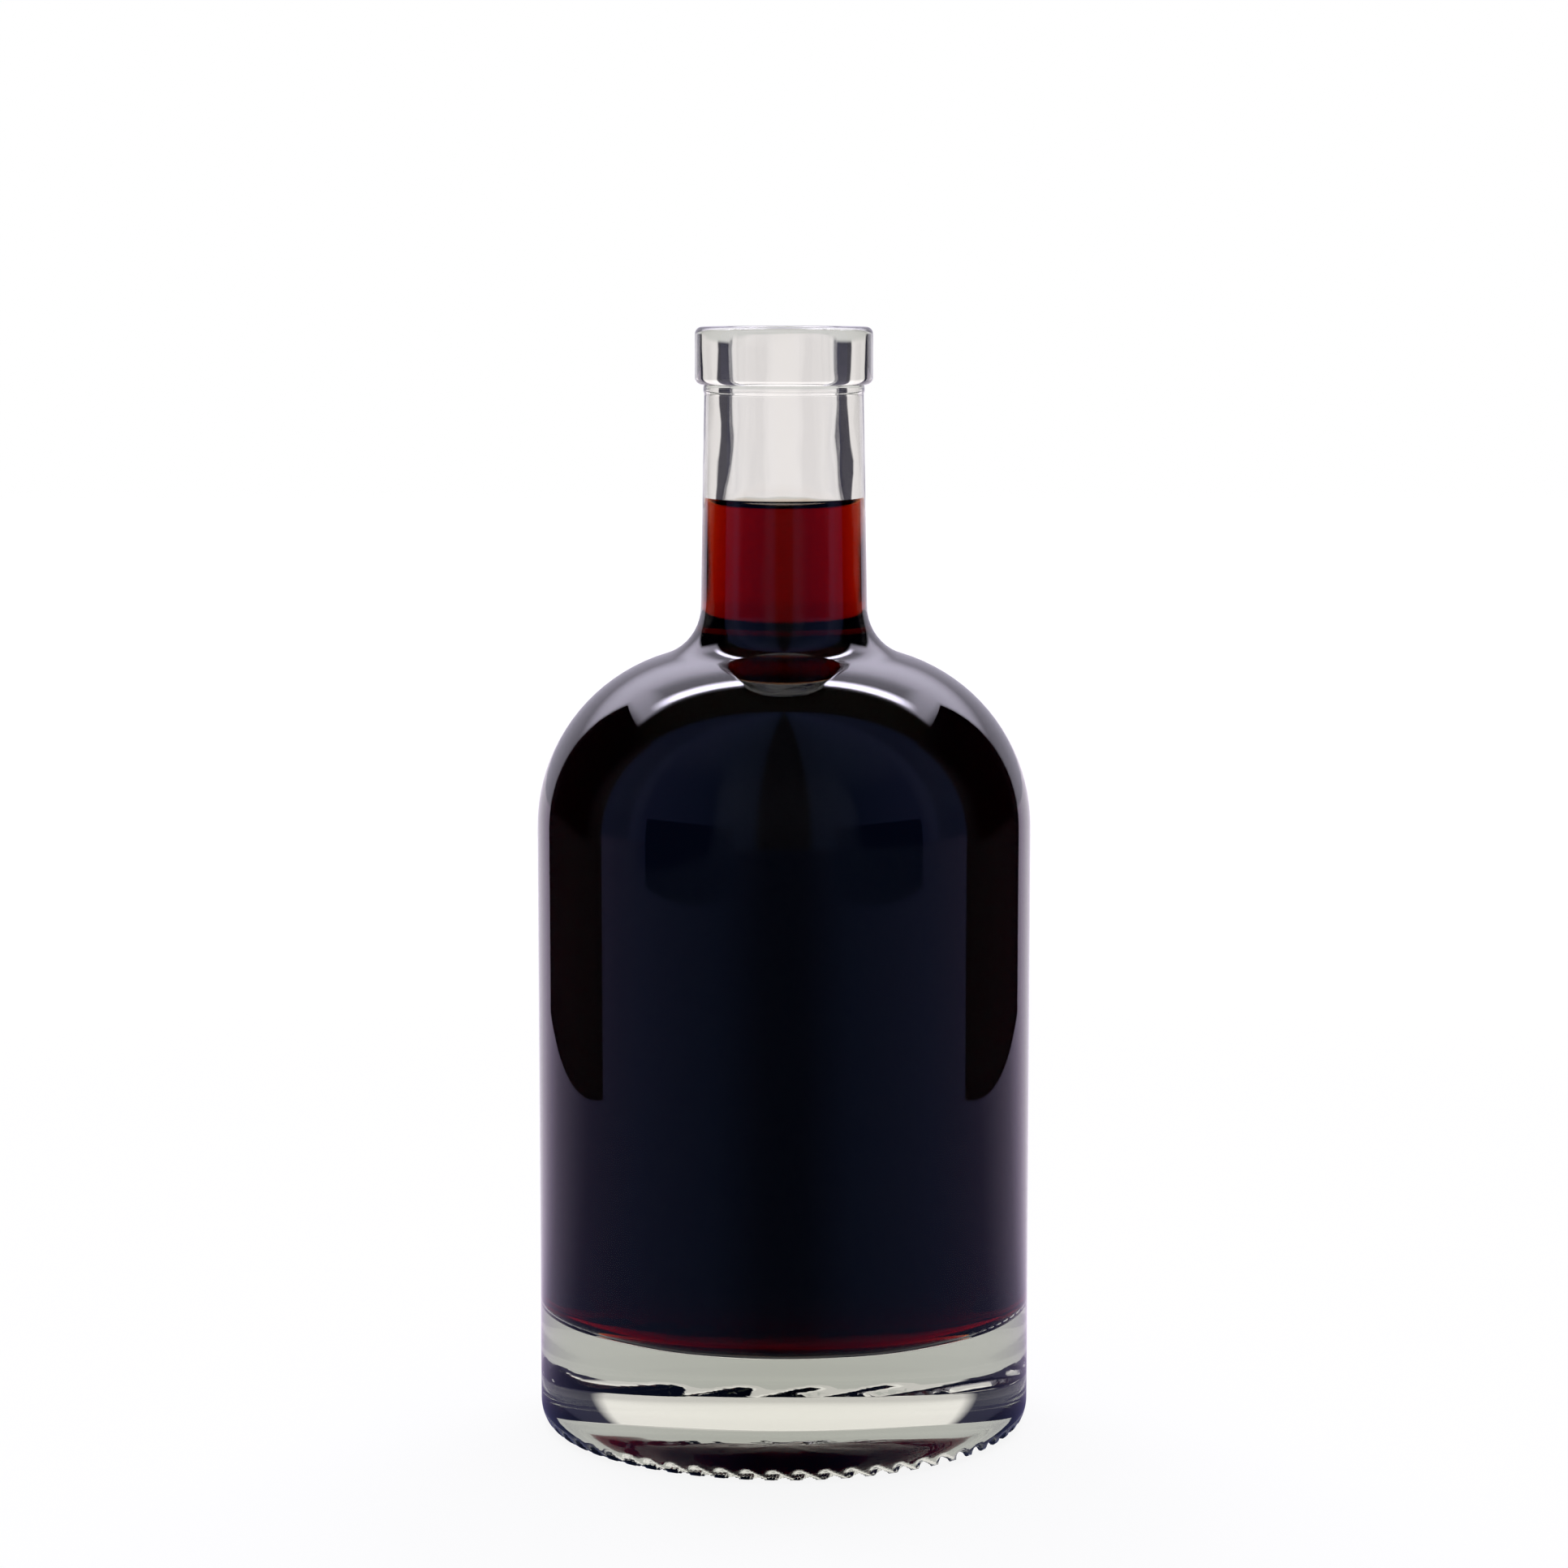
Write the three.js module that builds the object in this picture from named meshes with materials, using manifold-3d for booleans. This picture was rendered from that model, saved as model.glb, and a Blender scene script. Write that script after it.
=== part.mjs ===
// A half-litre spirits bottle of clear flint glass, filled with a dark red liqueur and open at the mouth.
// The bottle is one blown piece: a heavy base with a knurled foot and a push-up under it, a straight body,
// a round shoulder, a short neck, and a ring finish with the bore that takes a stopper's shank.
// Units are millimetres, +Z is up, and the origin is on the bottle's axis, on the surface that it stands on.

import * as THREE from "three";
import { mergeVertices } from "three/addons/utils/BufferGeometryUtils.js";
import Module from "manifold-3d";

// Body
const BODY_RADIUS = 42;
const WALL = 3.3;

// Foot: the flat ring that the bottle stands on, the round heel above it, and the push-up inside it
const HEEL_INSET = 2.5;
const HEEL_HEIGHT = 4.2;
const FOOT_WIDTH = 3.2;
const PUSH_UP_HEIGHT = 5.5;

// Knurling: round grooves that cross the foot on a slant and climb the heel
const KNURL_COUNT = 60;
const KNURL_GROOVE_RADIUS = 0.85;
const KNURL_DEPTH = 0.6;
const KNURL_SLANT = THREE.MathUtils.degToRad(50);
const KNURL_CLIMB = THREE.MathUtils.degToRad(14);

// Shoulder and neck
const SHOULDER_START = 103.5;
const SHOULDER_RADIUS = 30.4;
const NECK_FILLET = 8.7;
const NECK_FOOT_RADIUS = 14.1;
const NECK_TOP_RADIUS = 13.45;
const NECK_LENGTH = 47.04;

// Ring finish, with the collar that the neck mould leaves under it
const RING_RADIUS = 15;
const RING_HEIGHT = 9.7;
const RING_EDGE = 1.2;
const COLLAR_HEIGHT = 1.5;
const COLLAR_STEP = 0.15;

// Bore: straight as far as a stopper's shank reaches, then a taper that opens towards the shoulder
const BORE_RADIUS = 9.25;
const BORE_LENGTH = 16;
const MOUTH_EDGE = 0.8;

// Inside of the base
const BASE_THICKNESS = 19.8;
const FLOOR_CORNER = 3.6;
const FLOOR_RISE = 1.6;

// Liquid
const HEADSPACE = 29.6;
const LIQUID_GAP = 0.3;

// Facets
const SEGMENTS = 60;
const GROOVE_SIDES = 6;
const CHORD_ERROR = 0.12;
const FEWEST_STEPS = 3;
const AXIS_TOLERANCE = 1e-6;
const MERGE_TOLERANCE = 1e-4;

const DOWN = -Math.PI / 2;
const OUT = 0;
const UP = Math.PI / 2;
const IN = Math.PI;

const point = (r, z) => new THREE.Vector2(r, z);

// An arc round a centre, ends included, that strays from the true curve by CHORD_ERROR at most.
function arc(centre, radius, from, to, radiusZ = radius) {
  const largest = Math.max(radius, radiusZ);
  const widestStep = 2 * Math.acos(1 - CHORD_ERROR / largest);
  const steps = Math.max(FEWEST_STEPS, Math.ceil(Math.abs(to - from) / widestStep));
  return Array.from({ length: steps + 1 }, (_, i) => {
    const angle = from + ((to - from) * i) / steps;
    return point(
      centre.x + radius * Math.cos(angle),
      centre.y + radiusZ * Math.sin(angle),
    );
  });
}

// A shallow round cap, from its crown on the axis at height z + rise out to its rim at (rimRadius, z).
function cap(rimRadius, z, rise) {
  const sphereRadius = (rimRadius ** 2 + rise ** 2) / (2 * rise);
  const centre = point(0, z + rise - sphereRadius);
  return arc(centre, sphereRadius, UP, Math.acos(rimRadius / sphereRadius));
}

// The shoulder's arc and the neck's fillet touch at one angle. The inside has the same two centres.
const shoulderCentre = point(BODY_RADIUS - SHOULDER_RADIUS, SHOULDER_START);
const filletRadial = NECK_FOOT_RADIUS + NECK_FILLET - shoulderCentre.x;
const filletRise = Math.sqrt((SHOULDER_RADIUS + NECK_FILLET) ** 2 - filletRadial ** 2);
const filletCentre = shoulderCentre.clone().add(point(filletRadial, filletRise));
const touchAngle = Math.atan2(filletRise, filletRadial);
const mouthHeight = filletCentre.y + NECK_LENGTH;

// Shoulder and fillet, from the body up to the foot of the neck, at a distance inside the outer surface.
function shoulder(inset) {
  return [
    ...arc(shoulderCentre, SHOULDER_RADIUS - inset, OUT, touchAngle),
    ...arc(filletCentre, NECK_FILLET + inset, touchAngle + Math.PI, IN).slice(1),
  ];
}

// Underside, from the axis outwards: the push-up, the flat foot and the heel.
function underside() {
  const footOuter = BODY_RADIUS - HEEL_INSET;
  const heelCentre = point(footOuter, HEEL_HEIGHT);
  return [
    ...cap(footOuter - FOOT_WIDTH, 0, PUSH_UP_HEIGHT),
    ...arc(heelCentre, HEEL_INSET, DOWN, OUT, HEEL_HEIGHT),
  ];
}

// Collar, ring, sealing face and the rounded edge of the bore, from the neck upwards and over.
function finish() {
  const ringBottom = mouthHeight - RING_HEIGHT;
  const collarRadius = NECK_TOP_RADIUS + COLLAR_STEP;
  const collarBottom = ringBottom - COLLAR_HEIGHT;
  const edgeRadius = RING_RADIUS - RING_EDGE;
  const mouthEdgeCentre = point(BORE_RADIUS + MOUTH_EDGE, mouthHeight - MOUTH_EDGE);
  return [
    point(NECK_TOP_RADIUS, collarBottom - COLLAR_STEP),
    point(collarRadius, collarBottom),
    point(collarRadius, ringBottom),
    ...arc(point(edgeRadius, ringBottom + RING_EDGE), RING_EDGE, DOWN, OUT),
    ...arc(point(edgeRadius, mouthHeight - RING_EDGE), RING_EDGE, OUT, UP),
    ...arc(mouthEdgeCentre, MOUTH_EDGE, UP, IN),
  ];
}

function boreRadiusAt(depth) {
  const taperShare = (depth - BORE_LENGTH) / (NECK_LENGTH - BORE_LENGTH);
  const widening = NECK_FOOT_RADIUS - WALL - BORE_RADIUS;
  return BORE_RADIUS + widening * THREE.MathUtils.clamp(taperShare, 0, 1);
}

// Inside of the base, from the wall inwards to the axis, at a distance inside the glass.
function innerFloor(inset) {
  const cornerRadius = FLOOR_CORNER - inset;
  const cornerCentre = point(
    BODY_RADIUS - WALL - FLOOR_CORNER,
    BASE_THICKNESS + FLOOR_CORNER,
  );
  return [
    ...arc(cornerCentre, cornerRadius, OUT, DOWN),
    ...cap(cornerCentre.x, BASE_THICKNESS + inset, FLOOR_RISE).reverse().slice(1),
  ];
}

// A closed solid of revolution, from a profile that starts and ends on the axis and runs anticlockwise.
function turned(profile) {
  const closed = profile.map((p) => (p.x < AXIS_TOLERANCE ? point(0, p.y) : p));
  return new THREE.LatheGeometry(closed, SEGMENTS).rotateX(Math.PI / 2);
}

const wasm = await Module();
wasm.setup();

function solidOf(geometry) {
  const bare = geometry.clone().deleteAttribute("normal").deleteAttribute("uv");
  const merged = mergeVertices(bare, MERGE_TOLERANCE);
  return new wasm.Manifold(
    new wasm.Mesh({
      numProp: 3,
      vertProperties: merged.attributes.position.array,
      triVerts: new Uint32Array(merged.index.array),
    }),
  );
}

function geometryOf(solid) {
  const mesh = solid.getMesh();
  return new THREE.BufferGeometry()
    .setAttribute("position", new THREE.BufferAttribute(mesh.vertProperties, 3))
    .setIndex(new THREE.BufferAttribute(mesh.triVerts, 1));
}

// The bar that cuts one groove. It crosses the middle of the foot, where it cuts KNURL_DEPTH deep, and is long
// enough to leave the glass at both ends. A plain land is left on the foot at angle 0.
function grooveBar(index) {
  const crossing = BODY_RADIUS - HEEL_INSET - FOOT_WIDTH / 2;
  const halfLength = (BODY_RADIUS - crossing + KNURL_GROOVE_RADIUS) / Math.cos(KNURL_SLANT);
  return new THREE.CylinderGeometry(
    KNURL_GROOVE_RADIUS,
    KNURL_GROOVE_RADIUS,
    2 * halfLength,
    GROOVE_SIDES,
  )
    .rotateZ(-Math.PI / 2)
    .rotateY(-KNURL_CLIMB)
    .rotateZ(-KNURL_SLANT)
    .translate(crossing, 0, KNURL_DEPTH - KNURL_GROOVE_RADIUS)
    .rotateZ((2 * Math.PI * (index + 0.5)) / KNURL_COUNT);
}

function bottleGeometry() {
  const blown = turned([
    ...underside(),
    ...shoulder(0),
    ...finish(),
    point(BORE_RADIUS, mouthHeight - BORE_LENGTH),
    ...shoulder(WALL).reverse(),
    ...innerFloor(0),
  ]);
  const grooves = Array.from({ length: KNURL_COUNT }, (_, i) => solidOf(grooveBar(i)));
  return geometryOf(grooves.reduce((glass, groove) => glass.subtract(groove), solidOf(blown)));
}

// The liquid stands HEADSPACE below the mouth, and keeps LIQUID_GAP to the glass all round.
function liquidGeometry() {
  const level = mouthHeight - HEADSPACE;
  const surfaceRadius = boreRadiusAt(HEADSPACE) - LIQUID_GAP;
  return turned([
    ...innerFloor(LIQUID_GAP).reverse(),
    ...shoulder(WALL + LIQUID_GAP),
    point(surfaceRadius, level),
    point(0, level),
  ]);
}

const flintGlass = new THREE.MeshStandardMaterial({
  color: 0xe3e7e0,
  roughness: 0.03,
  metalness: 0,
  transparent: true,
  opacity: 0.35,
});

const darkLiqueur = new THREE.MeshStandardMaterial({
  color: 0x4a0508,
  roughness: 0.05,
  metalness: 0,
});

const filledBottle = new THREE.Group();

const bottle = new THREE.Mesh(bottleGeometry(), flintGlass);
bottle.name = "bottle";
filledBottle.add(bottle);

const liquid = new THREE.Mesh(liquidGeometry(), darkLiqueur);
liquid.name = "liquid";
filledBottle.add(liquid);

export default filledBottle;
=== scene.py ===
# A half-litre spirits bottle of clear flint glass, filled with a dark red liqueur, in a white studio.
# Everything is in metres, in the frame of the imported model: +Z is up along the bottle's axis, and the
# origin is on the surface that the bottle stands on.
# The camera sees a white floor and background. Mirrored rays, and rays that pass through the glass, see
# surroundings of their own, whose colours were fitted to one photograph.

import bpy
import numpy as np
from bpy.props import FloatProperty, FloatVectorProperty, IntProperty, PointerProperty
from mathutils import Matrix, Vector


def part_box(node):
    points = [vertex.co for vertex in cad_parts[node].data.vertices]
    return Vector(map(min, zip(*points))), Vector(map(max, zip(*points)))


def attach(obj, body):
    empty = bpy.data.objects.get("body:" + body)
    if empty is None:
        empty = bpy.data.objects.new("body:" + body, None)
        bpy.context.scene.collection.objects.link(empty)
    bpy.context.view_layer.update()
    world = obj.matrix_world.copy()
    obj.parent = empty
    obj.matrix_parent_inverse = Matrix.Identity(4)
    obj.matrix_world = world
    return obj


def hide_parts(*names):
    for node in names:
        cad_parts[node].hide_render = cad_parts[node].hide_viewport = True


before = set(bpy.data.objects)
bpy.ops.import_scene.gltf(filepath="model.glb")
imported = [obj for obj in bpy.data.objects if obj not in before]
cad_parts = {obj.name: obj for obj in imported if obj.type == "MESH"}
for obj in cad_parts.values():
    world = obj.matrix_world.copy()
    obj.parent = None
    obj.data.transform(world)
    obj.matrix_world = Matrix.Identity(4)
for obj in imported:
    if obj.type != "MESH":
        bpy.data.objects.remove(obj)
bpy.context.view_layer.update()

BOTTLE_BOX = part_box("bottle")
LIQUID_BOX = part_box("liquid")

bl_info = {
    "name": "Filled spirits bottle",
    "version": (1, 0, 0),
    "blender": (4, 5, 0),
    "location": "3D View > Sidebar > Bottle",
    "description": "Builds a clear glass bottle with a dark liqueur in it, and the studio round it",
    "category": "Add Mesh",
}

MM = 0.001

# Angles on a profile, where 0 points away from the axis and a quarter turn points up
DOWN = -np.pi / 2
OUT = 0.0
UP = np.pi / 2
IN = np.pi

# How finely the surfaces are divided, and how close two points of a profile are one point
SEGMENTS_PER_GROOVE = 8
SURFACE_STEPS = 24
SAME_POINT = 1e-6

# Round edges of the ring and of the mouth, and the collar under the ring. The collar's middle and the
# end of the neck's straight side are given as distances under the ring.
RING_EDGE = 1.2 * MM
MOUTH_EDGE = 0.8 * MM
COLLAR_STEP = 0.15 * MM
COLLAR_HALF_HEIGHT = 0.7 * MM
COLLAR_MIDDLE = 0.75 * MM
NECK_END = 1.8 * MM

# The bars whose grooves can reach one groove's stretch of the foot, counted in grooves from its start,
# and the deepest cut in groove depths
NEARBY_BARS = (-2.5, -1.5, -0.5, 0.5, 1.5, 2.5, 3.5)
DEEPEST_CUT = 2.0

# Ripples that blowing leaves on the inside of the glass: waves round the bottle, waves per metre up it,
# phase, and share of the ripple's height
RIPPLES = (
    (2, 21.0, 0.4, 0.30),
    (3, -34.0, 2.1, 0.28),
    (5, 47.0, 4.0, 0.18),
    (8, -66.0, 1.3, 0.14),
    (13, 95.0, 5.2, 0.10),
)

# The floor's ripples start this far over the floor's rim and take over from the neck's on the way down.
# All ripples fade out towards the mouth and towards the axis.
FLOOR_RIPPLE_START = 9.0 * MM
FLOOR_RIPPLE_WAY = 6.0 * MM
MOUTH_FADE = 3.0 * MM
AXIS_FADE = 8.0 * MM

# Refractive indices. Where the liqueur wets the glass, light bends by the ratio of the two.
GLASS_INDEX = 1.52
LIQUEUR_INDEX = 1.36
WETTED_INDEX = 1.118

# Surroundings that only mirrored rays see, where 1 is white. A direction is named by the point where it
# meets a plane at a height of 1: its distance across to the side, and behind towards the back. A pair
# says where a soft edge starts and ends. Directions under LOWEST count as that high. The ceiling has a
# gap over the bottle, and its front part is dimmer in the middle.
LOWEST = 0.02
CEILING_LIGHT = 2.6
BACKDROP_LIGHT = 0.64
BACKDROP_START = (1.3, 3.0)
LAVENDER = (0.97, 0.92, 1.12)
CEILING_SPREAD = 0.85
CEILING_REACH = 0.98
CEILING_SIDES = (0.86, 1.08)
CEILING_FRONT = (0.44, 0.54)
CEILING_GAP_SIDES = (0.06, 0.16)
CEILING_GAP_BACK = (0.62, 0.85)
DIM_FRONT_LIGHT = 0.45
DIM_FRONT_BACK = (0.80, 1.20)
DIM_FRONT_SIDES = (0.45, 0.75)
LAMP_LIGHT = 16.0
LAMP_INNER_END = (0.08, 0.20)
LAMP_OUTER_END = (0.50, 0.80)
LAMP_FRONT = (0.49, 0.55)
LAMP_BACK = (0.58, 0.70)

# Surroundings seen through the glass: heights over the horizon, as the sine of the angle
WALLS_BRIGHTEN = (0.10, 0.25)
BRIGHT_WALLS = 1.45
HIGH_START = (0.55, 0.85)
HIGH_COLOUR = (0.78, 0.76, 0.76)

# Floor. Pairs are distances from the axis, but for NEAR_FLOOR_WAY, which runs from front to back.
CAMERA_FLOOR_LIGHT = (0.90, 1.0)
CAMERA_FLOOR_WAY = (0.3, 1.2)
FLOOR_GREY = 0.09
FLOOR_END = (1.0, 1.6)
# What rays through the glass see of the floor near the bottle is painted light: the floor glows, a little
# brighter behind the bottle than in front.
NEAR_FLOOR_LIGHT = (0.55, 0.68)
NEAR_FLOOR_WAY = (-0.4, 0.1)
NEAR_FLOOR_COLOUR = (1.0, 0.99, 0.96)
# A painted shadow on the floor under the base, for all but camera rays: the light left in it, and the
# distances from the axis over which it fades out.
BASE_SHADOW_LIGHT = 0.08
BASE_SHADOW_EDGE = (0.030, 0.041)

# Colours round the bottle, as angles in degrees from the back. What the polished surface mirrors of the
# walls and of the floor, and what shows of the walls through the clear glass.
MIRRORED_WALLS = (
    (0.0, (0.0, 0.0, 0.0)),
    (84.0, (0.0, 0.0, 0.0)),
    (87.0, (0.035, 0.055, 0.17)),
    (103.0, (0.035, 0.055, 0.17)),
    (105.0, (0.085, 0.11, 0.29)),
    (140.0, (0.05, 0.08, 0.21)),
    (166.0, (0.03, 0.05, 0.13)),
    (169.0, (0.003, 0.004, 0.01)),
)
# What mirrored rays see of the floor is painted light and shade: the floor glows, though it is no lamp,
# lavender white behind the bottle and a dim blue in front.
MIRRORED_FLOOR = (
    (28.0, (1.0, 0.92, 1.06)),
    (36.0, (0.88, 0.76, 0.97)),
    (47.0, (0.62, 0.52, 0.74)),
    (56.0, (0.42, 0.35, 0.53)),
    (83.0, (0.13, 0.115, 0.26)),
    (113.0, (0.070, 0.09, 0.24)),
    (150.0, (0.03, 0.05, 0.15)),
    (172.0, (0.003, 0.008, 0.04)),
)
WALLS_THROUGH_GLASS = (
    (33.0, (0.88, 0.84, 0.83)),
    (38.0, (0.030, 0.028, 0.045)),
    (72.0, (0.030, 0.028, 0.045)),
    (78.0, (0.72, 0.71, 0.72)),
    (102.0, (0.72, 0.71, 0.72)),
    (108.0, (0.030, 0.028, 0.045)),
    (142.0, (0.030, 0.028, 0.045)),
    (147.0, (0.88, 0.84, 0.83)),
)

# Standing cards that only mirrored rays see, one of each on either side: name, name of the material,
# colour, the ends on the right-hand side as (x, y), and height
CARDS = (
    ("black_card_", "black_card", (0.0, 0.0, 0.001), (0.34, -0.012), (0.30, 0.31), 0.42),
    ("dim_panel_", "dim_blue_panel", (0.012, 0.028, 0.10), (0.313, -0.736), (0.725, -0.338), 0.245),
)

# The lamp that lights the floor from above. The glass doesn't show it.
LAMP_SIZE = 1.2
LAMP_WATTS = 12.0
LAMP_PLACE = (0.0, 0.2, 1.4)

SENSOR_WIDTH = 36.0


class BottleSizes(bpy.types.PropertyGroup):
    """Sizes and colour of the glass"""

    wall: FloatProperty(
        name="Wall",
        description="Thickness of the glass in the body and at the foot of the neck",
        default=3.3 * MM,
        unit="LENGTH",
    )
    heel_inset: FloatProperty(
        name="Heel inset",
        description="How far the foot's outer edge lies inside the body's side",
        default=2.5 * MM,
        unit="LENGTH",
    )
    heel_height: FloatProperty(
        name="Heel height",
        description="Height of the round edge under the body",
        default=4.2 * MM,
        unit="LENGTH",
    )
    foot_width: FloatProperty(
        name="Foot width",
        description="Width of the flat ring that the bottle stands on",
        default=3.2 * MM,
        unit="LENGTH",
    )
    push_up: FloatProperty(
        name="Push-up",
        description="Height of the hollow under the base",
        default=4.6 * MM,
        unit="LENGTH",
    )
    groove_count: IntProperty(
        name="Grooves",
        description="Number of knurling grooves round the foot",
        default=60,
    )
    groove_radius: FloatProperty(
        name="Groove radius",
        description="Radius of a knurling groove's round bottom",
        default=0.85 * MM,
        unit="LENGTH",
    )
    groove_depth: FloatProperty(
        name="Groove depth",
        description="Depth of a knurling groove in the middle of the foot",
        default=0.6 * MM,
        unit="LENGTH",
    )
    groove_slant: FloatProperty(
        name="Groove slant",
        description="Angle between a groove and the bottle's radius",
        default=np.radians(50.0),
        subtype="ANGLE",
    )
    groove_climb: FloatProperty(
        name="Groove climb",
        description="Angle at which a groove rises towards the heel",
        default=np.radians(14.0),
        subtype="ANGLE",
    )
    shoulder_start: FloatProperty(
        name="Shoulder start",
        description="Height at which the straight side ends",
        default=103.5 * MM,
        unit="LENGTH",
    )
    shoulder_radius: FloatProperty(
        name="Shoulder radius",
        description="Radius of the round shoulder",
        default=30.4 * MM,
        unit="LENGTH",
    )
    neck_fillet: FloatProperty(
        name="Neck fillet",
        description="Radius of the hollow curve between the shoulder and the neck",
        default=8.7 * MM,
        unit="LENGTH",
    )
    neck_foot_radius: FloatProperty(
        name="Neck foot radius",
        description="Radius of the neck where it leaves the shoulder",
        default=14.1 * MM,
        unit="LENGTH",
    )
    neck_top_radius: FloatProperty(
        name="Neck top radius",
        description="Radius of the neck under the ring",
        default=13.45 * MM,
        unit="LENGTH",
    )
    ring_radius: FloatProperty(
        name="Ring radius",
        description="Radius of the ring round the mouth",
        default=15.0 * MM,
        unit="LENGTH",
    )
    ring_height: FloatProperty(
        name="Ring height",
        description="Height of the ring round the mouth",
        default=9.7 * MM,
        unit="LENGTH",
    )
    bore_radius: FloatProperty(
        name="Bore radius",
        description="Radius of the bore that takes a stopper",
        default=9.25 * MM,
        unit="LENGTH",
    )
    bore_length: FloatProperty(
        name="Bore length",
        description="Depth to which the bore is straight",
        default=16.0 * MM,
        unit="LENGTH",
    )
    base_thickness: FloatProperty(
        name="Base thickness",
        description="Height of the inside floor's rim over the surface that the bottle stands on",
        default=19.8 * MM,
        unit="LENGTH",
    )
    floor_corner: FloatProperty(
        name="Floor corner",
        description="Radius of the curve between the inside wall and the inside floor",
        default=3.6 * MM,
        unit="LENGTH",
    )
    floor_dip: FloatProperty(
        name="Floor dip",
        description="Depth of the inside floor's middle under its rim",
        default=3.8 * MM,
        unit="LENGTH",
    )
    neck_ripple: FloatProperty(
        name="Neck ripple",
        description="Height of the ripples on the inside of the neck",
        default=0.16 * MM,
        unit="LENGTH",
    )
    floor_ripple: FloatProperty(
        name="Floor ripple",
        description="Height of the ripples on the inside floor and its corner",
        default=0.20 * MM,
        unit="LENGTH",
    )
    tint: FloatVectorProperty(
        name="Glass tint",
        description="Colour that light keeps after a long way through the glass",
        default=(0.915, 0.920, 0.902),
        subtype="COLOR",
        min=0.0,
        max=1.0,
    )
    tint_density: FloatProperty(
        name="Tint density",
        description="How strongly the glass absorbs light, per metre",
        default=60.0,
    )


class LiquidSizes(bpy.types.PropertyGroup):
    """Level and colour of the liqueur"""

    headspace: FloatProperty(
        name="Headspace",
        description="Distance from the mouth down to the liquid's surface",
        default=BOTTLE_BOX[1].z - LIQUID_BOX[1].z,
        unit="LENGTH",
    )
    climb: FloatProperty(
        name="Climb",
        description="How far the liquid's edge climbs the glass",
        default=1.5 * MM,
        unit="LENGTH",
    )
    climb_width: FloatProperty(
        name="Climb width",
        description="Distance from the glass over which the climb fades",
        default=0.8 * MM,
        unit="LENGTH",
    )
    film: FloatProperty(
        name="Film",
        description="Gap kept between the liquid's surface and the glass",
        default=0.03 * MM,
        unit="LENGTH",
    )
    tint: FloatVectorProperty(
        name="Liqueur tint",
        description="Colour that light keeps after a way through the liqueur",
        default=(0.862, 0.444, 0.012),
        subtype="COLOR",
        min=0.0,
        max=1.0,
    )
    tint_density: FloatProperty(
        name="Tint density",
        description="How strongly the liqueur absorbs light, per metre",
        default=810.0,
    )


class StudioSettings(bpy.types.PropertyGroup):
    """Camera and the floor's size"""

    camera_distance: FloatProperty(
        name="Camera distance",
        description="Distance of the camera in front of the bottle's axis",
        default=0.711,
        unit="LENGTH",
    )
    camera_height: FloatProperty(
        name="Camera height",
        description="Height of the camera over the surface that the bottle stands on",
        default=0.1967,
        unit="LENGTH",
    )
    camera_tilt: FloatProperty(
        name="Camera tilt",
        description="Angle at which the camera looks down",
        default=np.radians(6.915),
        subtype="ANGLE",
    )
    lens: FloatProperty(
        name="Lens",
        description="Focal length of the lens, in millimetres",
        default=96.43,
    )
    floor_size: FloatProperty(
        name="Floor size",
        description="Length of the floor's side",
        default=6.0,
        unit="LENGTH",
    )


# Profiles: arrays of (radius, height) points


def arc(centre, radius, start, end, steps, radius_z=None):
    """Points on an ellipse: centre + (radius * cos(a), radius_z * sin(a)), with a from start to end."""
    angle = np.linspace(start, end, steps + 1)
    high = radius if radius_z is None else radius_z
    return np.column_stack((centre[0] + radius * np.cos(angle), centre[1] + high * np.sin(angle)))


def line(start, end, steps):
    """Points at equal steps on the straight line from start to end, ends included."""
    share = np.linspace(0.0, 1.0, steps + 1)[:, None]
    return (1.0 - share) * np.asarray(start) + share * np.asarray(end)


def bowl(rim_radius, height, depth, steps):
    """A round bowl from its middle on the axis to its rim: z = height - depth + R - sqrt(R^2 - r^2),
    where R is the sphere's radius."""
    sphere = (rim_radius**2 + depth**2) / (2.0 * depth)
    radius = np.linspace(0.0, rim_radius, steps + 1)
    return np.column_stack((radius, height - depth + sphere - np.sqrt(sphere**2 - radius**2)))


def push_up(rim_radius, height, steps):
    """The hollow under the base, flat in the middle and steep at its rim:
    z = height * (1 - (r / rim_radius)^3)."""
    radius = np.linspace(0.0, rim_radius, steps + 1)
    return np.column_stack((radius, height * (1.0 - (radius / rim_radius) ** 3)))


def joined(*pieces):
    """The pieces one after the other, without the points that two neighbours share."""
    points = np.concatenate(pieces)
    step = np.linalg.norm(np.diff(points, axis=0), axis=1)
    return points[np.concatenate(([True], step > SAME_POINT))]


def shoulder_centres(s):
    """Centres of the shoulder's arc and of the neck's fillet, and the angle at which the two touch."""
    shoulder = np.array((BOTTLE_BOX[1].x - s.shoulder_radius, s.shoulder_start))
    radial = s.neck_foot_radius + s.neck_fillet - shoulder[0]
    rise = np.sqrt((s.shoulder_radius + s.neck_fillet) ** 2 - radial**2)
    return shoulder, shoulder + (radial, rise), np.arctan2(rise, radial)


def shoulder_profile(s, inset, steps):
    """The shoulder's arc and the fillet over it, from the body up to the neck, at a distance inside the
    outer surface."""
    shoulder, fillet, touch = shoulder_centres(s)
    return joined(
        arc(shoulder, s.shoulder_radius - inset, OUT, touch, steps),
        arc(fillet, s.neck_fillet + inset, touch + np.pi, IN, steps // 2),
    )


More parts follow.
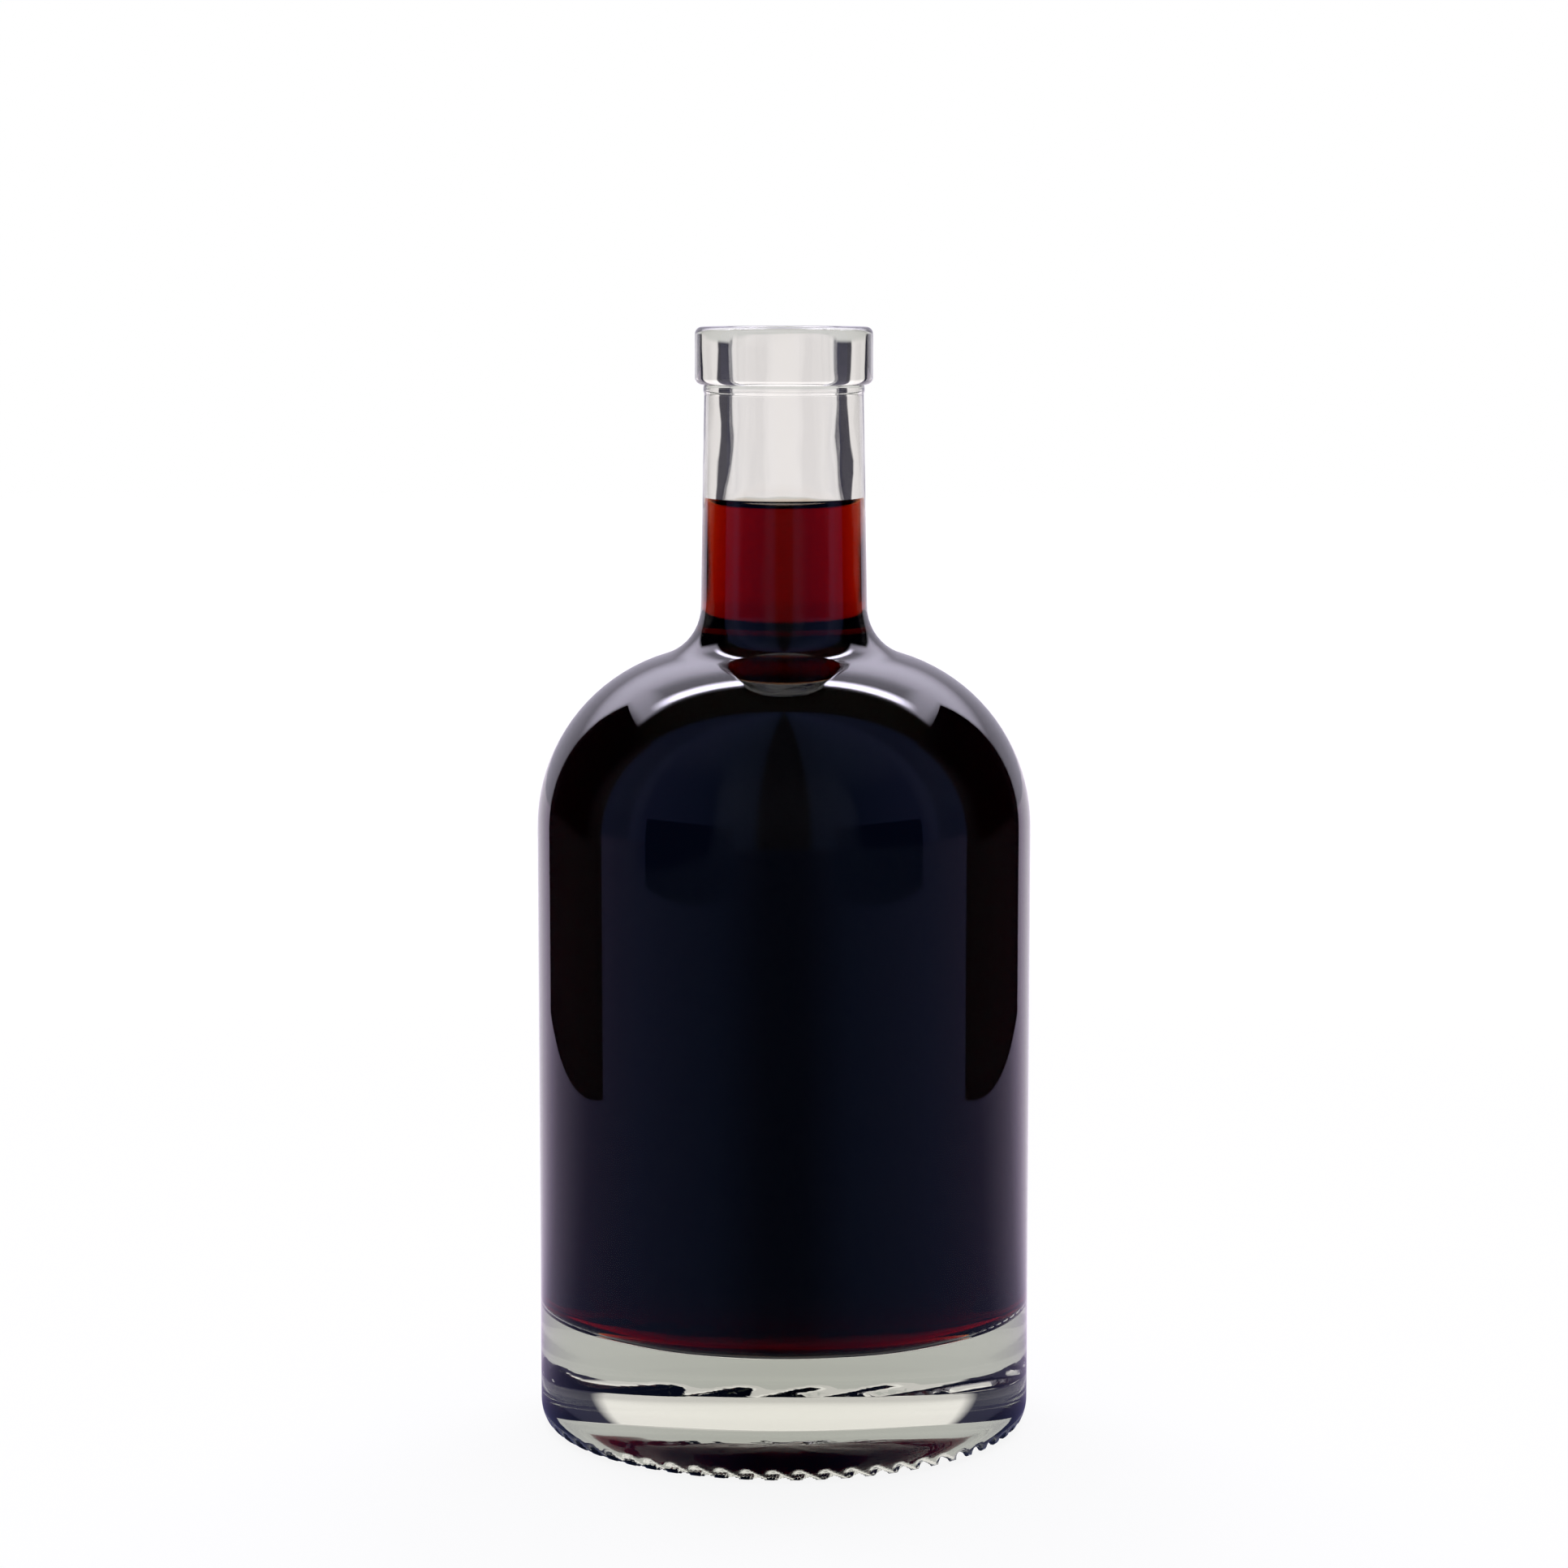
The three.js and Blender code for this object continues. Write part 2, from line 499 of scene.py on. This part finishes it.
def outside_profile(s):
    """The outer surface from the axis under the base to the edge of the bore."""
    mouth = BOTTLE_BOX[1].z
    body = BOTTLE_BOX[1].x
    foot = body - s.heel_inset
    neck = s.neck_top_radius
    neck_foot = (s.neck_foot_radius, shoulder_centres(s)[1][1])
    ring_bottom = mouth - s.ring_height
    ring_side = s.ring_radius - RING_EDGE
    collar = (neck, ring_bottom - COLLAR_MIDDLE)
    mouth_edge = (s.bore_radius + MOUTH_EDGE, mouth - MOUTH_EDGE)
    return joined(
        push_up(foot - s.foot_width, s.push_up, steps=24),
        line((foot - s.foot_width, 0.0), (foot, 0.0), steps=8),
        arc((foot, s.heel_height), s.heel_inset, DOWN, OUT, steps=12, radius_z=s.heel_height),
        line((body, s.heel_height), (body, s.shoulder_start), steps=6),
        shoulder_profile(s, 0.0, steps=20),
        line(neck_foot, (neck, ring_bottom - NECK_END), steps=5),
        arc(collar, COLLAR_STEP, DOWN, UP, steps=5, radius_z=COLLAR_HALF_HEIGHT),
        line((neck, ring_bottom), (ring_side, ring_bottom), steps=1),
        arc((ring_side, ring_bottom + RING_EDGE), RING_EDGE, DOWN, OUT, steps=6),
        arc((ring_side, mouth - RING_EDGE), RING_EDGE, OUT, UP, steps=6),
        arc(mouth_edge, MOUTH_EDGE, UP, IN, steps=5),
    )


def inside_profile(s, level, top=True):
    """The inner surface from the bore down to the axis, or only its part under the level. The liquid's
    edge is at the level, and a row of points is there."""
    bore_top = BOTTLE_BOX[1].z - MOUTH_EDGE
    bore_end = BOTTLE_BOX[1].z - s.bore_length
    neck_foot = shoulder_centres(s)[1][1]
    neck_inside = s.neck_foot_radius - s.wall
    share = (bore_end - level) / (bore_end - neck_foot)
    edge = s.bore_radius + share * (neck_inside - s.bore_radius)
    side = BOTTLE_BOX[1].x - s.wall
    corner = (side - s.floor_corner, s.base_thickness + s.floor_corner)
    tilt = 2.0 * np.arctan(s.floor_dip / corner[0])
    turn = arc(corner, s.floor_corner, OUT, DOWN + tilt, steps=8)
    lower = joined(
        line((edge, level), (neck_inside, neck_foot), steps=6),
        shoulder_profile(s, s.wall, steps=18)[::-1],
        line((side, s.shoulder_start), (side, corner[1]), steps=12),
        turn,
        bowl(turn[-1, 0], turn[-1, 1], s.floor_dip, steps=16)[::-1],
    )
    if not top:
        return lower
    upper = joined(
        line((s.bore_radius, bore_top), (s.bore_radius, bore_end), steps=5),
        line((s.bore_radius, bore_end), (edge, level), steps=6),
    )
    return joined(upper, lower)


# Surfaces


def column_angles(segments):
    """The angles of a turned surface's columns of points."""
    return 2.0 * np.pi * np.arange(segments) / segments


def profile_normals(profile):
    """Unit vectors that point out of the solid: the profile's direction, turned a quarter turn to its
    right."""
    along = np.gradient(profile, axis=0)
    normal = np.column_stack((along[:, 1], -along[:, 0]))
    return normal / np.linalg.norm(normal, axis=1)[:, None]


def ripple(profile, angle, height):
    """Sum of sine waves round the bottle and up it: height * share * sin(n * angle + 2 pi k s + phase),
    where s is the distance along the profile."""
    step = np.linalg.norm(np.diff(profile, axis=0), axis=1)
    along = np.concatenate(([0.0], np.cumsum(step)))[:, None]
    waves = [
        share * np.sin(count * angle[None, :] + 2.0 * np.pi * rate * along + phase)
        for count, rate, phase, share in RIPPLES
    ]
    return height[:, None] * np.sum(waves, axis=0)


def swept(profile_pairs, turn):
    """(radius, height) pairs as (x, y, z), at every angle in turn."""
    radius = profile_pairs[:, :1]
    height = np.broadcast_to(profile_pairs[:, 1:], (len(profile_pairs), turn.size))
    return np.stack((radius * np.cos(turn), radius * np.sin(turn), height), axis=-1)


def groove_cut(s, profile, normal):
    """How deep the round bars that knurl the foot cut into the surface, for the angles of one groove.
    A bar is a cylinder of radius R along d through c. Going in from point p along m, its far side is met
    at t, where |(p + t m - c) less its part along d| = R, and the cut is the largest such t of the
    nearest bars."""
    pitch = 2.0 * np.pi / s.groove_count
    angle = np.arange(SEGMENTS_PER_GROOVE) / SEGMENTS_PER_GROOVE * pitch
    crossing = BOTTLE_BOX[1].x - s.heel_inset - s.foot_width / 2.0
    centre = np.array((crossing, 0.0, s.groove_depth - s.groove_radius))
    flat = np.cos(s.groove_climb)
    slant = (flat * np.cos(s.groove_slant), -flat * np.sin(s.groove_slant))
    bar = np.array((*slant, np.sin(s.groove_climb)))
    cut = np.zeros((len(profile), SEGMENTS_PER_GROOVE))
    for nearby in NEARBY_BARS:
        turn = (angle - nearby * pitch)[None, :]
        offset = swept(profile, turn) - centre
        inward = -swept(normal, turn)
        offset = offset - (offset @ bar)[..., None] * bar
        across = inward - (inward @ bar)[..., None] * bar
        a = np.sum(across**2, axis=-1)
        b = np.sum(offset * across, axis=-1)
        c = np.sum(offset**2, axis=-1) - s.groove_radius**2
        inside = b**2 - a * c
        reach = np.where(inside > 0.0, (np.sqrt(np.maximum(inside, 0.0)) - b) / a, 0.0)
        cut = np.maximum(cut, reach)
    low = profile[:, 1] < s.heel_height
    near = profile[:, 0] > crossing - s.foot_width
    return np.where((low & near)[:, None], np.clip(cut, 0.0, DEEPEST_CUT * s.groove_depth), 0.0)


def turned_mesh(name, profile, moved, segments):
    """A closed surface of revolution. Point (i, j) is at angle 2 pi j / segments, on the profile's point
    i, moved along the profile's normal by moved[i, j]. The profile's ends lie on the axis and are one
    point each."""
    normal = profile_normals(profile)
    angle = column_angles(segments)
    radius = profile[:, :1] + normal[:, :1] * moved
    height = profile[:, 1:] + normal[:, 1:] * moved
    grid = np.stack((radius * np.cos(angle), radius * np.sin(angle), height), axis=-1)[1:-1]
    rows = len(grid)
    ends = np.array(((0.0, 0.0, height[0].mean()), (0.0, 0.0, height[-1].mean())))
    points = np.concatenate((grid.reshape(-1, 3), ends))
    column = np.arange(segments)
    beside = (column + 1) % segments
    row = segments * np.arange(rows - 1)[:, None]
    next_row = row + segments
    quads = np.stack((row + column, row + beside, next_row + beside, next_row + column), axis=-1)
    last = segments * (rows - 1)
    first_pole = np.stack((np.full(segments, len(points) - 2), beside, column), axis=-1)
    last_pole = np.stack(
        (last + column, last + beside, np.full(segments, len(points) - 1)), axis=-1
    )
    faces = first_pole.tolist() + quads.reshape(-1, 4).tolist() + last_pole.tolist()
    mesh = bpy.data.meshes.new(name)
    mesh.from_pydata(points.tolist(), [], faces)
    mesh.polygons.foreach_set("use_smooth", np.ones(len(mesh.polygons), bool))
    return mesh


def face_places(profile, segments):
    """For every face of a turned mesh, the number of its piece of the profile and that piece's middle
    height. Pieces lie between two points, so the first one's number is 0.5."""
    number = np.arange(len(profile) - 1) + 0.5
    middle = (profile[:-1, 1] + profile[1:, 1]) / 2.0
    return np.repeat(number, segments), np.repeat(middle, segments)


def mark_faces(mesh, name, values):
    """Keeps one number per face under a name, for the material to read."""
    mesh.attributes.new(name, "FLOAT", "FACE").data.foreach_set("value", values.astype(np.float32))


def placed(mesh):
    """The mesh as an object of the scene, at the origin."""
    piece = bpy.data.objects.new(mesh.name, mesh)
    bpy.context.scene.collection.objects.link(piece)
    return piece


# Materials


def new_material(name):
    """An empty node material and its output node."""
    material = bpy.data.materials.new(name)
    material.use_nodes = True
    nodes = material.node_tree.nodes
    nodes.clear()
    return material, nodes, material.node_tree.links, nodes.new("ShaderNodeOutputMaterial")


def smooth_glass(nodes, ior):
    """A clear shader that mirrors and bends light as a polished surface of this index does."""
    shader = nodes.new("ShaderNodeBsdfPrincipled")
    shader.inputs["Base Color"].default_value = (1.0, 1.0, 1.0, 1.0)
    shader.inputs["Roughness"].default_value = 0.0
    shader.inputs["IOR"].default_value = ior
    shader.inputs["Transmission Weight"].default_value = 1.0
    return shader


def absorption(nodes, tint, density):
    """Absorption that leaves the tint's colour, and grows with the way through the piece."""
    volume = nodes.new("ShaderNodeVolumeAbsorption")
    volume.inputs["Color"].default_value = (*tint, 1.0)
    volume.inputs["Density"].default_value = density
    return volume


def flint_glass(s):
    """Clear glass. Where the liqueur wets it, light bends only as much as between glass and liqueur."""
    material, nodes, links, output = new_material("flint_glass")
    dry = smooth_glass(nodes, GLASS_INDEX)
    wet = smooth_glass(nodes, WETTED_INDEX)
    wetted = nodes.new("ShaderNodeAttribute")
    wetted.attribute_name = "wetted"
    mix = nodes.new("ShaderNodeMixShader")
    links.new(wetted.outputs["Fac"], mix.inputs[0])
    links.new(dry.outputs[0], mix.inputs[1])
    links.new(wet.outputs[0], mix.inputs[2])
    links.new(mix.outputs[0], output.inputs["Surface"])
    links.new(absorption(nodes, s.tint, s.tint_density).outputs[0], output.inputs["Volume"])
    return material


def dark_liqueur(s):
    """A clear dark red liquid. Its free surface bends light. Its sides leave that to the wetted glass."""
    material, nodes, links, output = new_material("dark_liqueur")
    free = smooth_glass(nodes, LIQUEUR_INDEX)
    side = nodes.new("ShaderNodeBsdfTransparent")
    free_surface = nodes.new("ShaderNodeAttribute")
    free_surface.attribute_name = "free_surface"
    mix = nodes.new("ShaderNodeMixShader")
    links.new(free_surface.outputs["Fac"], mix.inputs[0])
    links.new(side.outputs[0], mix.inputs[1])
    links.new(free.outputs[0], mix.inputs[2])
    links.new(mix.outputs[0], output.inputs["Surface"])
    links.new(absorption(nodes, s.tint, s.tint_density).outputs[0], output.inputs["Volume"])
    return material


# Pieces


def ripple_heights(s, profile):
    """Height of the ripples along an inside profile: the neck's at the top, the floor's at the bottom."""
    z = profile[:, 1]
    low = np.clip((s.base_thickness + FLOOR_RIPPLE_START - z) / FLOOR_RIPPLE_WAY, 0.0, 1.0)
    fade_top = np.clip((BOTTLE_BOX[1].z - z) / MOUTH_FADE, 0.0, 1.0)
    fade_axis = np.clip(profile[:, 0] / AXIS_FADE, 0.0, 1.0)
    return (s.neck_ripple + (s.floor_ripple - s.neck_ripple) * low) * fade_top * fade_axis


def liquid_edge(liquid):
    """The height at which the liquid's surface meets the glass."""
    return BOTTLE_BOX[1].z - liquid.headspace + liquid.climb / 2.0


class BUILD_OT_glass_bottle(bpy.types.Operator):
    """Builds the blown glass bottle"""

    bl_idname = "bottle.glass"
    bl_label = "Glass bottle"

    def execute(self, context):
        s = context.scene.bottle_sizes
        segments = SEGMENTS_PER_GROOVE * s.groove_count
        level = liquid_edge(context.scene.liquid_sizes)
        inner = inside_profile(s, level)
        profile = joined(outside_profile(s), inner)
        first_inner = len(profile) - len(inner)
        cut = groove_cut(s, profile, profile_normals(profile))
        moved = -np.tile(cut, (1, s.groove_count))
        moved[first_inner:] += ripple(inner, column_angles(segments), ripple_heights(s, inner))
        mesh = turned_mesh("bottle_glass", profile, moved, segments)
        number, height = face_places(profile, segments)
        mark_faces(mesh, "wetted", (number > first_inner) & (height < level))
        mesh.materials.append(flint_glass(s))
        piece = placed(mesh)
        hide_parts("bottle")
        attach(piece, "root")
        return {"FINISHED"}


class BUILD_OT_liquid(bpy.types.Operator):
    """Builds the liqueur that stands in the bottle"""

    bl_idname = "bottle.liquid"
    bl_label = "Liqueur"

    def execute(self, context):
        s = context.scene.bottle_sizes
        liquid = context.scene.liquid_sizes
        segments = SEGMENTS_PER_GROOVE * s.groove_count
        level = liquid_edge(liquid)
        whole = inside_profile(s, level)
        heights = ripple(whole, column_angles(segments), ripple_heights(s, whole))
        side = inside_profile(s, level, top=False)
        side_moved = heights[len(whole) - len(side) :] + liquid.film
        rim = side[0, 0] - liquid.film
        across = rim * np.sqrt(np.arange(SURFACE_STEPS) / SURFACE_STEPS)
        raised = liquid.climb * (np.exp((across - rim) / liquid.climb_width) - 1.0)
        surface = np.column_stack((across, level + raised))
        profile = np.concatenate((surface, side))[::-1]
        moved = np.concatenate((np.zeros((len(surface), segments)), -side_moved))[::-1]
        mesh = turned_mesh("liqueur", profile, moved, segments)
        number = face_places(profile, segments)[0]
        mark_faces(mesh, "free_surface", number > len(side) - 1)
        mesh.materials.append(dark_liqueur(liquid))
        piece = placed(mesh)
        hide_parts("liquid")
        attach(piece, "root")
        return {"FINISHED"}


# Studio


def flat_card(name, corners):
    """A flat four-cornered card in the scene."""
    mesh = bpy.data.meshes.new(name)
    mesh.from_pydata(corners, [], [(0, 1, 2, 3)])
    card = placed(mesh)
    return card


def maths(nodes, links, operation, *values):
    """A Math node with plain numbers or links on its inputs, and its output."""
    node = nodes.new("ShaderNodeMath")
    node.operation = operation
    for socket, value in zip(node.inputs, values):
        if isinstance(value, (int, float)):
            socket.default_value = value
        else:
            links.new(value, socket)
    return node.outputs[0]


def square(nodes, links, value):
    """A number times itself."""
    return maths(nodes, links, "MULTIPLY", value, value)


def ramp(nodes, links, value, edge, levels=(0.0, 1.0)):
    """The first level before the edge starts, the second where it has ended, and a smooth step between."""
    node = nodes.new("ShaderNodeMapRange")
    node.interpolation_type = "SMOOTHSTEP"
    node.inputs["From Min"].default_value, node.inputs["From Max"].default_value = edge
    node.inputs["To Min"].default_value, node.inputs["To Max"].default_value = levels
    links.new(value, node.inputs["Value"])
    return node.outputs[0]


def mixed_colour(nodes, links, share, first, second):
    """The first colour where share is 0 and the second where it is 1."""
    node = nodes.new("ShaderNodeMix")
    node.data_type = "RGBA"
    for socket, value in zip((node.inputs[0], node.inputs[6], node.inputs[7]), (share, first, second)):
        if isinstance(value, tuple):
            socket.default_value = (*value, 1.0)
        else:
            links.new(value, socket)
    return node.outputs[2]


def tinted(nodes, links, strength, colour):
    """A colour multiplied by a number."""
    node = nodes.new("ShaderNodeVectorMath")
    node.operation = "SCALE"
    if isinstance(colour, tuple):
        node.inputs[0].default_value = colour
    else:
        links.new(colour, node.inputs[0])
    links.new(strength, node.inputs["Scale"])
    return node.outputs[0]


def round_the_bottle(nodes, links, x, y, stops):
    """A colour that follows the angle round the bottle, the same to the left and to the right. The stops
    give the angle from the back, in degrees, and the colour there."""
    angle = maths(nodes, links, "ABSOLUTE", maths(nodes, links, "ARCTAN2", x, y))
    share = maths(nodes, links, "DIVIDE", angle, np.pi)
    node = nodes.new("ShaderNodeValToRGB")
    elements = node.color_ramp.elements
    while len(elements) < len(stops):
        elements.new(0.5)
    for element, (degrees, colour) in zip(elements, stops):
        element.position = degrees / 180.0
        element.color = (*colour, 1.0)
    links.new(share, node.inputs[0])
    return node.outputs[0]


def ceiling(nodes, links, across, behind):
    """How much of a direction shows the bright ceiling and backdrop: past the ceiling's front edge, no
    further to the side than it reaches, and not in the gap over the bottle."""
    spread = maths(nodes, links, "MULTIPLY", behind, CEILING_SPREAD)
    reach = maths(nodes, links, "MAXIMUM", spread, CEILING_REACH)
    beyond = maths(nodes, links, "DIVIDE", across, reach)
    sides = ramp(nodes, links, beyond, CEILING_SIDES, (1.0, 0.0))
    front = ramp(nodes, links, behind, CEILING_FRONT)
    beside_gap = ramp(nodes, links, across, CEILING_GAP_SIDES)
    past_gap = ramp(nodes, links, behind, CEILING_GAP_BACK)
    gap = maths(nodes, links, "MAXIMUM", beside_gap, past_gap)
    return maths(nodes, links, "MULTIPLY", gap, maths(nodes, links, "MULTIPLY", sides, front))


def overhead_lamps(nodes, links, across, behind):
    """Light of two lamps that lie across at the ceiling's front edge, left and right, with soft edges."""
    inner = ramp(nodes, links, across, LAMP_INNER_END)
    outer = ramp(nodes, links, across, LAMP_OUTER_END, (1.0, 0.0))
    front = ramp(nodes, links, behind, LAMP_FRONT)
    back = ramp(nodes, links, behind, LAMP_BACK, (LAMP_LIGHT, 0.0))
    length = maths(nodes, links, "MULTIPLY", inner, outer)
    return maths(nodes, links, "MULTIPLY", length, maths(nodes, links, "MULTIPLY", front, back))


def studio_world():
    """White for the camera. Mirrored rays see a ceiling and lamps brighter than white, a paler backdrop
    behind, black walls beside it and a dim blue room in front. Rays through the glass see walls that are
    pale and dark by turns, and a pale ceiling."""
    world = bpy.data.worlds.new("studio")
    bpy.context.scene.world = world
    world.use_nodes = True
    nodes, links = world.node_tree.nodes, world.node_tree.links
    nodes.clear()
    output = nodes.new("ShaderNodeOutputWorld")
    background = nodes.new("ShaderNodeBackground")
    parts = nodes.new("ShaderNodeSeparateXYZ")
    links.new(nodes.new("ShaderNodeTexCoord").outputs["Generated"], parts.inputs[0])
    x, y, z = parts.outputs
    path = nodes.new("ShaderNodeLightPath")
    over = maths(nodes, links, "MAXIMUM", z, LOWEST)
    across = maths(nodes, links, "ABSOLUTE", maths(nodes, links, "DIVIDE", x, over))
    behind = maths(nodes, links, "DIVIDE", y, over)
    dim_front = ramp(nodes, links, behind, DIM_FRONT_BACK, (DIM_FRONT_LIGHT, 1.0))
    past_dim = ramp(nodes, links, across, DIM_FRONT_SIDES)
    dim_front = maths(nodes, links, "MAXIMUM", dim_front, past_dim)
    glow = ramp(nodes, links, behind, BACKDROP_START, (CEILING_LIGHT, BACKDROP_LIGHT))
    glow = maths(nodes, links, "MULTIPLY", dim_front, glow)
    glow = maths(nodes, links, "ADD", glow, overhead_lamps(nodes, links, across, behind))
    bright = tinted(nodes, links, glow, LAVENDER)
    walls = round_the_bottle(nodes, links, x, y, MIRRORED_WALLS)
    mirrored = mixed_colour(nodes, links, ceiling(nodes, links, across, behind), walls, bright)
    level = round_the_bottle(nodes, links, x, y, WALLS_THROUGH_GLASS)
    level = tinted(nodes, links, ramp(nodes, links, z, WALLS_BRIGHTEN, (1.0, BRIGHT_WALLS)), level)
    through = mixed_colour(nodes, links, ramp(nodes, links, z, HIGH_START), level, HIGH_COLOUR)
    in_glass = mixed_colour(nodes, links, path.outputs["Is Transmission Ray"], mirrored, through)
    seen = mixed_colour(nodes, links, path.outputs["Is Camera Ray"], in_glass, (1.0, 1.0, 1.0))
    links.new(seen, background.inputs["Color"])
    links.new(background.outputs[0], output.inputs[0])


def floor_material():
    """Nearly white for the camera, with a soft shadow. For all other rays the floor glows, though it is no
    lamp, with painted light and shade. Mirrored rays see it fade from a lavender white behind the bottle
    to a dim blue in front. Rays through the glass see it nearly plain close by, a little brighter behind
    than in front, and like the walls further off. Both see a painted shadow under the base."""
    material, nodes, links, output = new_material("studio_floor")
    path = nodes.new("ShaderNodeLightPath")
    glow = nodes.new("ShaderNodeEmission")
    lit = nodes.new("ShaderNodeBsdfDiffuse")
    lit.inputs["Color"].default_value = (FLOOR_GREY, FLOOR_GREY, FLOOR_GREY, 1.0)
    both = nodes.new("ShaderNodeAddShader")
    # For all but camera rays the floor glows, though it is no lamp, with painted light and shade.
    in_glass = nodes.new("ShaderNodeEmission")
    parts = nodes.new("ShaderNodeSeparateXYZ")
    links.new(nodes.new("ShaderNodeTexCoord").outputs["Object"], parts.inputs[0])
    x, y = parts.outputs[0], parts.outputs[1]
    radius = maths(nodes, links, "ADD", square(nodes, links, x), square(nodes, links, y))
    radius = maths(nodes, links, "SQRT", radius)
    camera_light = ramp(nodes, links, radius, CAMERA_FLOOR_WAY, CAMERA_FLOOR_LIGHT)
    links.new(camera_light, glow.inputs["Strength"])
    near_light = ramp(nodes, links, y, NEAR_FLOOR_WAY, NEAR_FLOOR_LIGHT)
    near = tinted(nodes, links, near_light, NEAR_FLOOR_COLOUR)
    walls = round_the_bottle(nodes, links, x, y, WALLS_THROUGH_GLASS)
    through = mixed_colour(nodes, links, ramp(nodes, links, radius, FLOOR_END), near, walls)
    mirrored = round_the_bottle(nodes, links, x, y, MIRRORED_FLOOR)
    colour = mixed_colour(nodes, links, path.outputs["Is Transmission Ray"], mirrored, through)
    links.new(colour, in_glass.inputs["Color"])
    # Painted shadow: the floor's glow drops to a low level under the base, for all but camera rays.
    painted_base_shadow = ramp(nodes, links, radius, BASE_SHADOW_EDGE, (BASE_SHADOW_LIGHT, 1.0))
    links.new(painted_base_shadow, in_glass.inputs["Strength"])
    links.new(glow.outputs[0], both.inputs[0])
    links.new(lit.outputs[0], both.inputs[1])
    mix = nodes.new("ShaderNodeMixShader")
    links.new(path.outputs["Is Camera Ray"], mix.inputs[0])
    links.new(in_glass.outputs[0], mix.inputs[1])
    links.new(both.outputs[0], mix.inputs[2])
    links.new(mix.outputs[0], output.inputs["Surface"])
    return material


def card_material(name, colour):
    """A card that shows this colour, whatever light falls on it."""
    material, nodes, links, output = new_material(name)
    shader = nodes.new("ShaderNodeEmission")
    shader.inputs["Color"].default_value = (*colour, 1.0)
    links.new(shader.outputs[0], output.inputs["Surface"])
    return material


def add_cards():
    """The standing cards on both sides of the bottle."""
    materials = [card_material(material, colour) for _, material, colour, *_ in CARDS]
    for side, place in ((-1.0, "left"), (1.0, "right")):
        for (name, _, _, near, far, height), material in zip(CARDS, materials):
            ends = ((near[0] * side, near[1]), (far[0] * side, far[1]))
            low = [(*end, 0.0) for end in ends]
            high = [(*end, height) for end in reversed(ends)]
            card = flat_card(name + place, low + high)
            card.data.materials.append(material)
            card.visible_camera = False
            card.visible_diffuse = False
            card.visible_shadow = False
            card.visible_transmission = False


def add_lamp(scene):
    """A soft lamp over the bottle, which the glass doesn't show."""
    data = bpy.data.lights.new("soft_lamp", "AREA")
    data.shape = "SQUARE"
    data.size = LAMP_SIZE
    data.energy = LAMP_WATTS
    lamp = bpy.data.objects.new("soft_lamp", data)
    scene.collection.objects.link(lamp)
    lamp.location = LAMP_PLACE
    lamp.visible_glossy = False
    lamp.visible_transmission = False


def add_camera(scene, s):
    """The camera in front of the bottle, turned a little down."""
    data = bpy.data.cameras.new("camera")
    data.lens = s.lens
    data.sensor_width = SENSOR_WIDTH
    camera = bpy.data.objects.new("camera", data)
    camera.location = (0.0, -s.camera_distance, s.camera_height)
    camera.rotation_euler = (np.pi / 2.0 - s.camera_tilt, 0.0, 0.0)
    scene.collection.objects.link(camera)
    scene.camera = camera


class BUILD_OT_studio(bpy.types.Operator):
    """Builds the floor, the surroundings, the lamp and the camera"""

    bl_idname = "bottle.studio"
    bl_label = "Studio"

    def execute(self, context):
        scene = context.scene
        s = scene.studio_settings
        half = s.floor_size / 2.0
        corners = [(-half, -half, 0.0), (half, -half, 0.0), (half, half, 0.0), (-half, half, 0.0)]
        floor = flat_card("studio_floor", corners)
        floor.data.materials.append(floor_material())
        add_cards()
        studio_world()
        add_lamp(scene)
        add_camera(scene, s)
        scene.view_settings.view_transform = "Standard"
        scene.cycles.max_bounces = 24
        scene.cycles.transmission_bounces = 24
        scene.cycles.glossy_bounces = 12
        scene.cycles.transparent_max_bounces = 24
        return {"FINISHED"}


class BUILD_PT_bottle(bpy.types.Panel):
    """The sizes and the buttons, in the 3D view's sidebar"""

    bl_idname = "BUILD_PT_bottle"
    bl_label = "Filled bottle"
    bl_space_type = "VIEW_3D"
    bl_region_type = "UI"
    bl_category = "Bottle"

    def draw(self, context):
        layout = self.layout
        scene = context.scene
        for settings in (scene.bottle_sizes, scene.liquid_sizes, scene.studio_settings):
            box = layout.box()
            for name in settings.__annotations__:
                box.prop(settings, name)
        for operator in (BUILD_OT_glass_bottle, BUILD_OT_liquid, BUILD_OT_studio):
            layout.operator(operator.bl_idname)


CLASSES = (
    BottleSizes,
    LiquidSizes,
    StudioSettings,
    BUILD_OT_glass_bottle,
    BUILD_OT_liquid,
    BUILD_OT_studio,
    BUILD_PT_bottle,
)


def register():
    for cls in CLASSES:
        bpy.utils.register_class(cls)
    bpy.types.Scene.bottle_sizes = PointerProperty(type=BottleSizes)
    bpy.types.Scene.liquid_sizes = PointerProperty(type=LiquidSizes)
    bpy.types.Scene.studio_settings = PointerProperty(type=StudioSettings)


def unregister():
    del bpy.types.Scene.studio_settings
    del bpy.types.Scene.liquid_sizes
    del bpy.types.Scene.bottle_sizes
    for cls in reversed(CLASSES):
        bpy.utils.unregister_class(cls)


def main():
    register()
    bpy.ops.bottle.studio()
    bpy.ops.bottle.glass()
    bpy.ops.bottle.liquid()


if __name__ == "__main__":
    main()
